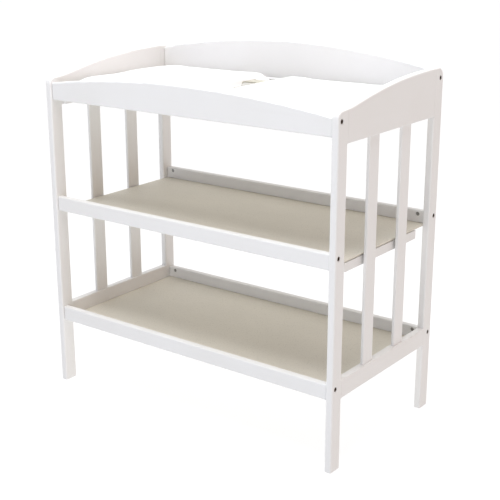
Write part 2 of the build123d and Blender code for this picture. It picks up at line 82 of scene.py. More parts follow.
class Recipe:
    """A material while it is being made: adds nodes, sets their values and links them."""

    def __init__(self, name: str) -> None:
        """Start a material with one Principled shader.

        Args:
            name: the material's name.
        """
        self.material = bpy.data.materials.new(name)
        self.material.use_nodes = True
        self.nodes = self.material.node_tree.nodes
        self.links = self.material.node_tree.links
        self.shader = self.nodes["Principled BSDF"]

    def set(self, **values: object) -> None:
        """Set the shader's own sockets, with underscores for spaces in their names."""
        for key, value in values.items():
            self.shader.inputs[key.replace("_", " ")].default_value = value

    def node(self, kind: str, options: dict | None = None, **sockets: object) -> bpy.types.Node:
        """Add a node.

        Args:
            kind: the node's type after "ShaderNode".
            options: properties of the node itself.
            sockets: input values, or output sockets to link to the inputs.

        Returns:
            The new node.
        """
        made = self.nodes.new("ShaderNode" + kind)
        for key, value in (options or {}).items():
            setattr(made, key, value)
        for key, value in sockets.items():
            socket = made.inputs[key.replace("_", " ")]
            if isinstance(value, bpy.types.NodeSocket):
                self.links.new(value, socket)
            else:
                socket.default_value = value
        return made

    def space(self, scale: tuple[float, float, float], turn: tuple = (0.0, 0.0, 0.0),
              source: str = "Object") -> bpy.types.NodeSocket:
        """Coordinates in metres (or a UV map's units), multiplied and turned.

        Args:
            scale: repeats per metre along each axis.
            turn: rotation in radians.
            source: "Object" or "UV".

        Returns:
            The mapped vector socket.
        """
        coordinates = self.node("TexCoord").outputs[source]
        return self.node("Mapping", Vector=coordinates, Scale=scale, Rotation=turn).outputs[0]

    def noise(self, where: bpy.types.NodeSocket, scale: float = 1.0, detail: float = 3.0,
              rough: float = 0.5) -> bpy.types.NodeSocket:
        """A noise value from 0 to 1."""
        made = self.node("TexNoise", Vector=where, Scale=scale, Detail=detail, Roughness=rough)
        return made.outputs["Fac"]

    def ramp(self, value: bpy.types.NodeSocket, low: float, high: float, to_low: float,
             to_high: float) -> bpy.types.NodeSocket:
        """A value carried from one range to another and held at the ends."""
        return self.node("MapRange", Value=value, From_Min=low, From_Max=high, To_Min=to_low,
                         To_Max=to_high).outputs[0]

    def mix(self, factor: bpy.types.NodeSocket, first: object, second: object) -> bpy.types.NodeSocket:
        """A colour between two others.

        Args:
            factor: 0 for the first, 1 for the second.
            first: a colour, or a socket that gives one.
            second: the same.

        Returns:
            The mixed colour's socket.
        """
        made = self.nodes.new("ShaderNodeMix")
        made.data_type = "RGBA"
        self.links.new(factor, made.inputs[0])
        for index, value in ((6, first), (7, second)):
            if isinstance(value, bpy.types.NodeSocket):
                self.links.new(value, made.inputs[index])
            else:
                made.inputs[index].default_value = value
        return made.outputs[2]

    def threads(self, where: bpy.types.NodeSocket, axis: str, density: float, distortion: float,
                **sockets: float) -> bpy.types.NodeSocket:
        """Parallel threads that repeat along one axis.

        Args:
            where: coordinates in metres.
            axis: "X" or "Y".
            density: twice the number of threads in a metre, near enough.
            distortion: how far they wander.
            sockets: other values of the wave.

        Returns:
            A value from 0 between threads to 1 on their crowns.
        """
        made = self.node("TexWave", {"bands_direction": axis}, Vector=where,
                         Scale=density / BANDS_AT_SCALE_ONE, Distortion=distortion, Detail=1.0, **sockets)
        return made.outputs["Fac"]

    def join(self, operation: str, first: bpy.types.NodeSocket,
             second: bpy.types.NodeSocket) -> bpy.types.NodeSocket:
        """Two values joined by a sum.

        Args:
            operation: the sum's name, such as "MULTIPLY".
            first: a value.
            second: a value.

        Returns:
            The result's socket.
        """
        made = self.node("Math", {"operation": operation})
        for index, value in enumerate((first, second)):
            self.links.new(value, made.inputs[index])
        return made.outputs[0]

    def bumps(self, *layers: tuple[bpy.types.NodeSocket, float, float]) -> None:
        """Chain bump layers into the shader.

        Args:
            layers: a height, a strength and a distance in metres for each, the broadest first.
        """
        normal = None
        for height, strength, distance in layers:
            made = self.node("Bump", Height=height, Strength=strength, Distance=distance)
            if normal is not None:
                self.links.new(normal, made.inputs["Normal"])
            normal = made.outputs[0]
        self.links.new(normal, self.shader.inputs["Normal"])

    def finish(self, colour: bpy.types.NodeSocket,
               rough: bpy.types.NodeSocket | None = None) -> bpy.types.Material:
        """Link the colour and roughness and hand the material over.

        Args:
            colour: the base colour.
            rough: the roughness, if it varies.

        Returns:
            The finished material.
        """
        self.links.new(colour, self.shader.inputs["Base Color"])
        if rough is not None:
            self.links.new(rough, self.shader.inputs["Roughness"])
        return self.material


@dataclass(frozen=True)
class SatinPaint:
    """Satin white paint brushed over pine, with the grain just telegraphing through."""

    grain: Grain
    clean: Colour = (0.835, 0.83, 0.825, 1.0)
    aged: Colour = (0.78, 0.765, 0.74, 1.0)
    scuffed: Colour = (0.66, 0.63, 0.59, 1.0)
    fibre_along: float = 7.0
    fibre_across: float = 260.0
    ring_along: float = 1.6
    ring_across: float = 42.0

    def stretched(self, along: float, across: float) -> tuple[float, float, float]:
        """A pattern's scale for this grain.

        Args:
            along: repeats per metre along the grain, low.
            across: repeats per metre across it, high.

        Returns:
            Repeats per metre along X, Y and Z.
        """
        scale = [across, across, across]
        scale[self.grain.value] = along
        return (scale[0], scale[1], scale[2])

    def build(self) -> bpy.types.Material:
        """Make the material: fibres, growth rings, a little orange peel, faint scuffs and yellowing.

        Returns:
            The material.
        """
        mat = Recipe(f"satin_paint_{self.grain.name.lower()}")
        fibres = mat.noise(mat.space(self.stretched(self.fibre_along, self.fibre_across)), detail=4.0)
        rings = mat.noise(mat.space(self.stretched(self.ring_along, self.ring_across)), detail=2.0)
        peel = mat.noise(mat.space((850.0, 850.0, 850.0)), detail=1.0)
        cloud = mat.noise(mat.space((5.0, 5.0, 5.0)), detail=4.0)
        scuff = mat.noise(mat.space(self.stretched(30.0, 110.0)), detail=6.0, rough=0.7)
        colour = mat.mix(mat.ramp(cloud, 0.42, 0.75, 0.0, 0.35), self.clean, self.aged)
        colour = mat.mix(mat.ramp(rings, 0.55, 0.8, 0.0, 0.22), colour, self.aged)
        colour = mat.mix(mat.ramp(scuff, 0.68, 0.8, 0.0, 0.4), colour, self.scuffed)
        mat.set(Coat_Weight=0.08, Coat_Roughness=0.3, IOR=1.48)
        mat.bumps((rings, 0.10, 0.0007), (fibres, 0.16, 0.0003), (peel, 0.10, 0.00012))
        return mat.finish(colour, mat.ramp(fibres, 0.3, 0.7, 0.38, 0.5))


@dataclass(frozen=True)
class GreyFoil:
    """The matt warm grey face of the thin shelf boards, with a fine pressed texture."""

    light: Colour = (0.78, 0.745, 0.655, 1.0)
    dark: Colour = (0.71, 0.68, 0.595, 1.0)
    speck: Colour = (0.43, 0.40, 0.34, 1.0)

    def build(self) -> bpy.types.Material:
        """Make the material: pressed grain, soft clouding and fine specks.

        Returns:
            The material.
        """
        mat = Recipe("grey_foil")
        press = mat.noise(mat.space((260.0, 900.0, 900.0)), detail=2.0)
        cloud = mat.noise(mat.space((3.0, 6.0, 6.0)), detail=5.0)
        specks = mat.noise(mat.space((420.0, 420.0, 420.0)), detail=1.0)
        colour = mat.mix(mat.ramp(cloud, 0.35, 0.7, 0.0, 0.8), self.light, self.dark)
        colour = mat.mix(mat.ramp(specks, 0.62, 0.75, 0.0, 0.5), colour, self.speck)
        mat.bumps((press, 0.18, 0.00015), (cloud, 0.05, 0.001))
        return mat.finish(colour, mat.ramp(press, 0.3, 0.7, 0.5, 0.62))


@dataclass(frozen=True)
class BareBeech:
    """Unpainted beech, for the dowels."""

    light: Colour = (0.60, 0.42, 0.26, 1.0)
    dark: Colour = (0.42, 0.27, 0.15, 1.0)

    def build(self) -> bpy.types.Material:
        """Make the material: short dark flecks over fine fibres.

        Returns:
            The material.
        """
        mat = Recipe("bare_beech")
        fleck = mat.noise(mat.space((120.0, 120.0, 120.0)), detail=5.0, rough=0.7)
        fibre = mat.noise(mat.space((40.0, 500.0, 500.0)), detail=3.0)
        colour = mat.mix(mat.ramp(fleck, 0.45, 0.7, 0.0, 1.0), self.light, self.dark)
        mat.bumps((fibre, 0.3, 0.0002))
        return mat.finish(colour, mat.ramp(fibre, 0.3, 0.7, 0.55, 0.7))


@dataclass(frozen=True)
class Steel:
    """Plated or blackened steel with fine turning marks."""

    name: str
    light: Colour
    dark: Colour
    rough_low: float
    rough_high: float

    def build(self) -> bpy.types.Material:
        """Make the material: mottled plating over turned metal.

        Returns:
            The material.
        """
        mat = Recipe(self.name)
        mottle = mat.noise(mat.space((600.0, 600.0, 600.0)), detail=4.0)
        marks = mat.noise(mat.space((900.0, 2600.0, 2600.0)), detail=1.0)
        mat.set(Metallic=1.0)
        mat.bumps((marks, 0.2, 0.00005))
        colour = mat.mix(mat.ramp(mottle, 0.35, 0.7, 0.0, 1.0), self.light, self.dark)
        return mat.finish(colour, mat.ramp(mottle, 0.3, 0.7, self.rough_low, self.rough_high))


@dataclass(frozen=True)
class CoatedCloth:
    """White wipe-clean cloth: a fine plain weave under a soft coating."""

    white: Colour = (0.88, 0.88, 0.875, 1.0)
    shade: Colour = (0.82, 0.82, 0.815, 1.0)
    threads: float = 620.0

    def build(self) -> bpy.types.Material:
        """Make the material: crossed threads, soft puckers and a little clouding.

        Returns:
            The material.
        """
        mat = Recipe("coated_cloth")
        warp, weft = (mat.threads(mat.space((1, 1, 1)), axis, self.threads, 1.5, Detail_Scale=1.0)
                      for axis in ("X", "Y"))
        weave = mat.join("MULTIPLY", warp, weft)
        pucker = mat.noise(mat.space((26.0, 34.0, 30.0)), detail=3.0)
        cloud = mat.noise(mat.space((6.0, 6.0, 6.0)), detail=3.0)
        colour = mat.mix(mat.ramp(cloud, 0.4, 0.75, 0.0, 0.6), self.white, self.shade)
        mat.set(Sheen_Weight=0.08, Sheen_Roughness=0.5, Coat_Weight=0.05, Coat_Roughness=0.4)
        mat.bumps((pucker, 0.22, 0.002), (weave, 0.25, 0.0002))
        return mat.finish(colour, mat.ramp(pucker, 0.3, 0.7, 0.48, 0.6))


@dataclass(frozen=True)
class Webbing:
    """Pale woven webbing: diagonal ribs, read from a UV map in metres."""

    # Both colours are darker than the webbing's own pale colour: partly its colour, partly painted shade of
    # the valley in which the strap lies.
    pale: Colour = (0.58, 0.565, 0.525, 1.0)
    deep: Colour = (0.40, 0.39, 0.355, 1.0)
    rib: float = 760.0
    lean: float = math.radians(32)

    def build(self) -> bpy.types.Material:
        """Make the material: two sets of slanted ribs over fine yarn, with painted shade in the troughs
        between the ribs.

        Returns:
            The material.
        """
        mat = Recipe("woven_webbing")
        left, right = (mat.threads(mat.space((1, 1, 1), (0, 0, way * self.lean), "UV"), "Y", self.rib, 0.6)
                       for way in (-1, 1))
        ribs = mat.join("MAXIMUM", left, right)
        yarn = mat.noise(mat.space((2600.0, 900.0, 1.0), source="UV"), detail=2.0)
        # Painted shade: the deep colour darkens the troughs between the ribs.
        colour = mat.mix(mat.ramp(ribs, 0.2, 0.8, 0.0, 1.0), self.deep, self.pale)
        mat.set(Sheen_Weight=0.15, Sheen_Roughness=0.4)
        mat.bumps((ribs, 0.6, 0.0004), (yarn, 0.3, 0.00012))
        return mat.finish(colour, mat.ramp(yarn, 0.3, 0.7, 0.55, 0.7))


@dataclass(frozen=True)
class MouldedPlastic:
    """Cream acetal with a spark-eroded grain, slightly rubbed; its colours carry painted shade of the strap
    valley.
    """

    # Both colours are darker than the real cream: partly its own colour, partly painted shade of the strap
    # valley in which the buckle lies.
    cream_with_painted_shade: Colour = (0.52, 0.495, 0.40, 1.0)
    rubbed: Colour = (0.60, 0.575, 0.49, 1.0)

    def build(self) -> bpy.types.Material:
        """Make the material: mould grain with rubbed high spots.

        Returns:
            The material.
        """
        mat = Recipe("moulded_plastic")
        grain = mat.noise(mat.space((2200.0, 2200.0, 2200.0)), detail=2.0)
        rub = mat.noise(mat.space((140.0, 140.0, 140.0)), detail=4.0)
        colour = mat.mix(mat.ramp(rub, 0.45, 0.7, 0.0, 1.0), self.cream_with_painted_shade, self.rubbed)
        mat.bumps((grain, 0.25, 0.00008))
        return mat.finish(colour, mat.ramp(rub, 0.3, 0.7, 0.42, 0.3))


@dataclass(frozen=True)
class StudioFloor:
    """A plain pale floor of opal panels lit from below, with the faintest unevenness."""

    pale: Colour = (0.17, 0.17, 0.17, 1.0)
    dull: Colour = (0.16, 0.16, 0.16, 1.0)
    lit: Colour = (1.0, 1.0, 1.0, 1.0)
    glow: float = 0.89

    def build(self) -> bpy.types.Material:
        """Make the material.

        Returns:
            The material.
        """
        mat = Recipe("studio_floor")
        cloud = mat.noise(mat.space((2.0, 2.0, 2.0)), detail=3.0)
        mat.set(Roughness=0.9, Specular_IOR_Level=0.1, Emission_Color=self.lit, Emission_Strength=self.glow)
        return mat.finish(mat.mix(cloud, self.pale, self.dull))


# ---- mesh helpers -----------------------------------------------------------------------------------


def grid_faces(rows: int, columns: int, wrap_rows: bool = False, wrap_columns: bool = False) -> np.ndarray:
    """Quads of a grid of points numbered row by row.

    Args:
        rows: number of rows of points.
        columns: number of points in a row.
        wrap_rows: join the last row to the first.
        wrap_columns: join the last column to the first.

    Returns:
        An array of quads, four point numbers each.
    """
    i = np.arange(rows if wrap_rows else rows - 1)[:, None]
    j = np.arange(columns if wrap_columns else columns - 1)[None, :]
    here, below, right = i * columns, (i + 1) % rows * columns, (j + 1) % columns
    quads = np.stack([here + j, here + right, below + right, below + j], -1)
    return quads.reshape(-1, 4)


def mesh_piece(name: str, points: np.ndarray, faces: list, material: bpy.types.Material,
               uv: np.ndarray | None = None) -> bpy.types.Object:
    """Make an object at the origin from points and faces, smooth shaded, with an optional UV per point.

    Args:
        name: the piece's name.
        points: an N by 3 array in metres.
        faces: lists of point numbers.
        material: its finish.
        uv: an N by 2 array.

    Returns:
        The linked object.
    """
    mesh = bpy.data.meshes.new(name)
    mesh.from_pydata(points.reshape(-1, 3).tolist(), [], faces)
    if uv is not None:
        corners = np.empty(len(mesh.loops), np.int32)
        mesh.loops.foreach_get("vertex_index", corners)
        layer = mesh.uv_layers.new(name="weave")
        layer.data.foreach_set("uv", uv.reshape(-1, 2)[corners].astype(np.float32).ravel())
    mesh.shade_smooth()
    mesh.materials.append(material)
    mesh.update()
    piece = bpy.data.objects.new(name, mesh)
    bpy.context.scene.collection.objects.link(piece)
    return piece


def vertex_array(mesh: bpy.types.Mesh) -> np.ndarray:
    """A mesh's points as an array.

    Args:
        mesh: the mesh to read.

    Returns:
        An N by 3 array in metres.
    """
    flat = np.empty(len(mesh.vertices) * 3, np.float64)
    mesh.vertices.foreach_get("co", flat)
    return flat.reshape(-1, 3)


def run_of(points: np.ndarray, step: float) -> np.ndarray:
    """Evenly spaced points along a polyline, by its running length.

    Args:
        points: the polyline, one row a point.
        step: distance between the new points.

    Returns:
        The new points, the ends included.
    """
    lengths = np.concatenate([[0.0], np.cumsum(np.linalg.norm(np.diff(points, axis=0), axis=1))])
    count = max(int(lengths[-1] / step), 2) + 1
    at = np.linspace(0.0, lengths[-1], count)
    return np.stack([np.interp(at, lengths, points[:, axis]) for axis in range(points.shape[1])], 1)


# ---- timber -----------------------------------------------------------------------------------------


@dataclass
class TimberFrame:
    """The painted frame: every CAD part of it keeps its shape and gets paint along its own grain."""

    upright: tuple[str, ...] = ("post", "slat")
    deep: tuple[str, ...] = ("top_panel", "bottom_rail", "batten", "cleat")

    def grain_of(self, node: str) -> Grain:
        """Which way a part's grain runs, from what it is.

        Args:
            node: the part's name.

        Returns:
            The grain's axis.
        """
        if any(word in node for word in self.upright):
            return Grain.UPRIGHT
        if any(word in node for word in self.deep):
            return Grain.DEEP
        return Grain.ACROSS

    def dress(self) -> None:
        """Give every timber, board and fitting of the frame its finish."""
        black = Steel("black_steel", (0.13, 0.09, 0.07, 1), (0.07, 0.05, 0.04, 1), 0.4, 0.55)
        zinc = Steel("zinc_steel", (0.42, 0.42, 0.41, 1), (0.28, 0.28, 0.27, 1), 0.35, 0.5)
        paints = {grain: SatinPaint(grain).build() for grain in Grain}
        finishes = {
            "shelf_board": GreyFoil().build(),
            "bare_beech": BareBeech().build(),
            "black_steel": black.build(),
            "zinc_steel": zinc.build(),
            "buckle_plastic": MouldedPlastic().build(),
            "pad_cover": CoatedCloth().build(),
            "webbing": Webbing().build(),
        }
        for entry in frame["record"]["subparts"]:
            node, slot = entry["node"], entry["material_slot"]
            finish = paints[self.grain_of(node)] if slot == "painted_timber" else finishes[slot]
            mesh = frame["nodes"][node].data
            mesh.materials.clear()
            mesh.materials.append(finish)
            LOG.info("%s: %s", node, finish.name)


# ---- pad --------------------------------------------------------------------------------------------


@dataclass
class Pad:
    """The soft changing pad: foam in a coated cover, pulled down across its middle by the strap."""

    swell_room: float = 5 * MM
    corner: float = 30 * MM
    voxel: float = 6 * MM
    pressure: float = 4.0
    frames: int = 20
    cap: float = 9 * MM
    strap_half: float = 29 * MM
    strap_shoulder: float = 20 * MM
    bed_gap: float = 2.2 * MM
    crease_at: float = 31 * MM
    crease_width: float = 7 * MM
    crease_deep: float = 7 * MM
    welt_at: float = 72 * MM
    welt_width: float = 28 * MM
    welt_high: float = 2.2 * MM
    rumple_high: float = 0.9 * MM
    head_room: float = 4 * MM
    side_room: float = 1 * MM
    end_room: float = 0.5 * MM
    side_power: float = 0.22
    top_power: float = 0.55
    pinch: float = 0.012
    seam_above: float = 8 * MM
    seam_reach: float = 5 * MM
    seam_step: float = 4 * MM
    seam_even: int = 7
    piping_out: float = 0.3 * MM
    piping_around: int = 10
    piping_radius: float = 2.1 * MM
    rings: int = 26
    around: int = 240

    def outline(self, angle: np.ndarray, half: np.ndarray) -> np.ndarray:
        """A rounded rectangle by its direction from the middle.

        It is a superellipse, |x / half width| and |y / half depth| to one power adding up to 1; the
        power is the smaller half over half the corner radius, so a smaller radius squares the corners.

        Args:
            angle: directions in radians.
            half: half width and half depth.

        Returns:
            An N by 2 array of X, Y.
        """
        power = 2.0 * half.min() / self.corner
        c, s = np.cos(angle), np.sin(angle)
        radius = (np.abs(c / half[0]) ** power + np.abs(s / half[1]) ** power) ** (-1.0 / power)
        return np.stack([radius * c, radius * s], 1)

    def shell(self) -> tuple[np.ndarray, list, np.ndarray]:
        """The pad before it swells: rings from the middle of the top to the middle of the bottom.

        Each ring is the outline scaled by sin(t) to a small power, and its height is the half thickness
        times cos(t) to another, so the top and bottom are broad and the sides are round. A slight pinch
        draws in the corners.

        Returns:
            Points, faces and the middle of the pad.
        """
        low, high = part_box("changing_pad")
        middle = (np.array(low) + np.array(high)) / 2
        half = (np.array(high) - np.array(low)) / 2 - self.swell_room * np.array([0.5, 0.5, 0.9])
        t = np.linspace(0.0, math.pi, self.rings + 2)[1:-1]
        angle = np.linspace(0.0, 2 * math.pi, self.around, endpoint=False)
        edge = self.outline(angle, half[:2])
        spread = np.abs(np.sin(t)) ** self.side_power
        height = np.sign(np.cos(t)) * np.abs(np.cos(t)) ** self.top_power
        pinch = 1 - self.pinch * np.sin(2 * angle) ** 2
        flat = edge[None] * (spread[:, None] * pinch[None])[..., None]
        tall = np.broadcast_to((height * half[2])[:, None, None], flat.shape[:2] + (1,))
        points = np.concatenate([flat, tall], 2).reshape(-1, 3)
        poles = np.array([[0, 0, half[2]], [0, 0, -half[2]]])
        faces = grid_faces(self.rings, self.around, wrap_columns=True)[:, ::-1].tolist()
        top, bottom = len(points), len(points) + 1
        last = (self.rings - 1) * self.around
        nxt = np.roll(np.arange(self.around), -1)
        faces += [[top, int(a), int(b)] for a, b in zip(np.arange(self.around), nxt)]
        faces += [[bottom, int(last + b), int(last + a)] for a, b in zip(np.arange(self.around), nxt)]
        return np.concatenate([points, poles]) + middle, faces, middle

    def swell(self, piece: bpy.types.Object) -> None:
        """Even out the mesh, blow the cover up with cloth, and hold each point within the cap.

        Args:
            piece: the pad, changed in place.
        """
        remesh = piece.modifiers.new("even", "REMESH")
        remesh.mode, remesh.voxel_size = "VOXEL", self.voxel
        self.freeze(piece)
        before = vertex_array(piece.data)
        cloth = piece.modifiers.new("cover", "CLOTH")
        cloth.settings.use_pressure = True
        cloth.settings.uniform_pressure_force = self.pressure
        cloth.settings.effector_weights.gravity = 0.0
        cloth.settings.tension_stiffness = 30
        cloth.settings.compression_stiffness = 30
        cloth.settings.bending_stiffness = 0.3
        for number in range(1, self.frames + 1):
            bpy.context.scene.frame_set(number)
        self.freeze(piece)
        bpy.context.scene.frame_set(1)
        moved = vertex_array(piece.data) - before
        length = np.linalg.norm(moved, axis=1, keepdims=True)
        moved *= np.minimum(1.0, self.cap / np.maximum(length, 1e-9))
        self.place(piece, before + moved)

    def freeze(self, piece: bpy.types.Object) -> None:
        """Apply every modifier on a piece.

        Args:
            piece: the piece, which gets a new mesh.
        """
        shape = bpy.data.meshes.new_from_object(piece.evaluated_get(bpy.context.evaluated_depsgraph_get()))
        piece.modifiers.clear()
        piece.data = shape

    def place(self, piece: bpy.types.Object, points: np.ndarray) -> None:
        """Press the pad into its tray: flat below, clear of the rails, and drawn down by the strap.

        Under the strap and its buckle the pad lies no higher than the buckle's lower face; that pull
        falls off as a smooth step over the shoulder. A crease, a bell curve across the width, runs
        along each edge of the strap, and a welt of the same form stands beyond the shoulder, its height
        wandering as a sum of two sines. Two crossed sines rumple the rest of the top.

        Args:
            piece: the pad.
            points: its points so far.
        """
        low, high = (np.array(corner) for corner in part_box("changing_pad"))
        middle_z = (low[2] + high[2]) / 2
        x, y, z = points.T
        off = np.clip((np.abs(x) - self.strap_half) / self.strap_shoulder, 0.0, 1.0)
        pull = 1 - off * off * (3 - 2 * off)
        above = np.clip((z - middle_z) / (high[2] - middle_z), 0.0, 1.0) * (1 - pull)
        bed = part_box("buckle_body")[0].z - self.bed_gap
        z = z + (np.minimum(z, bed) - z) * pull
        crease = np.exp(-(((np.abs(x) - self.crease_at) / self.crease_width) ** 2))
        z = z - self.crease_deep * crease * (z > middle_z)
        welt = np.exp(-(((np.abs(x) - self.welt_at) / self.welt_width) ** 2)) * above
        z = z + self.welt_high * welt * (1 + 0.35 * np.sin(y * 41.0) + 0.2 * np.sin(y * 97.0 + x * 30.0))
        rumple = np.sin(x * 23.0 + 1.3) * np.sin(y * 31.0 + x * 9.0 + 0.4)
        z = z + self.rumple_high * rumple * above
        points = np.stack([np.clip(x, low[0] + self.side_room, high[0] - self.side_room),
                           np.clip(y, low[1] + self.end_room, high[1] - self.end_room),
                           np.clip(z, low[2], high[2] + self.head_room)], 1)
        piece.data.vertices.foreach_set("co", points.astype(np.float32).ravel())
        piece.data.update()

    def piping(self, body: np.ndarray, middle: np.ndarray,
               material: bpy.types.Material) -> bpy.types.Object:
        """The piped seam round the top edge: a small tube along the pad's widest outline.

        Each point of the route is the pad point nearest to the ideal outline among those near the
        seam's height, averaged with its neighbours; the tube is a circle carried along it.

        Args:
            body: the pad's finished points.
            middle: the pad's middle.
            material: the cover's finish.

        Returns:
            The piping.
        """
        seam_z = middle[2] + self.seam_above
        near = body[np.abs(body[:, 2] - seam_z) < self.seam_reach]
        low, high = (np.array(corner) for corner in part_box("changing_pad"))
        half = (high - low)[:2] / 2
        angle = np.linspace(0.0, 2 * math.pi, 720, endpoint=False)
        guess = self.outline(angle, half)
        guess = run_of(np.vstack([guess, guess[:1]]), self.seam_step)[:-1]
        gap = ((near[None, :, :2] - guess[:, None]) ** 2).sum(2)
        flat = near[gap.argmin(1)][:, :2]
        kernel = np.ones(self.seam_even) / self.seam_even
        over = self.seam_even // 2
        flat = np.stack([np.convolve(np.r_[f[-over:], f, f[:over]], kernel, "valid") for f in flat.T], 1)
        ahead = np.roll(flat, -1, 0) - np.roll(flat, 1, 0)
        out = np.stack([ahead[:, 1], -ahead[:, 0]], 1)
        out /= np.linalg.norm(out, axis=1, keepdims=True)
        turn = np.linspace(0.0, 2 * math.pi, self.piping_around, endpoint=False)
        centre = flat + out * self.piping_out
        limit = half - self.piping_radius - self.piping_out
        centre = np.clip(centre, -limit, limit)
        side = centre[:, None] + out[:, None] * (self.piping_radius * np.cos(turn))[None, :, None]
        rise = seam_z + self.piping_radius * np.broadcast_to(np.sin(turn), side.shape[:2])
        points = np.concatenate([side, rise[..., None]], 2)
        faces = grid_faces(len(flat), len(turn), wrap_rows=True, wrap_columns=True)[:, ::-1].tolist()
        return mesh_piece("pad_piping", points, faces, material)

    def build(self) -> bpy.types.Object:
        """Returns:
            The pad.
        """
        material = bpy.data.materials["coated_cloth"]
        points, faces, middle = self.shell()
        pad = mesh_piece("changing_pad_cover", points, faces, material)
        self.swell(pad)
        pad.data.materials.clear()
        pad.data.materials.append(material)
        pad.data.shade_smooth()
        piping = self.piping(vertex_array(pad.data), middle, material)
        fine = pad.modifiers.new("fine", "SUBSURF")
        fine.levels = fine.render_levels = 1
        for piece in (pad, piping):
            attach(piece, "pad")
        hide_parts("changing_pad")
        LOG.info("pad: %d points, piping %d", len(pad.data.vertices), len(piping.data.vertices))
        return pad


# ---- strap ------------------------------------------------------------------------------------------


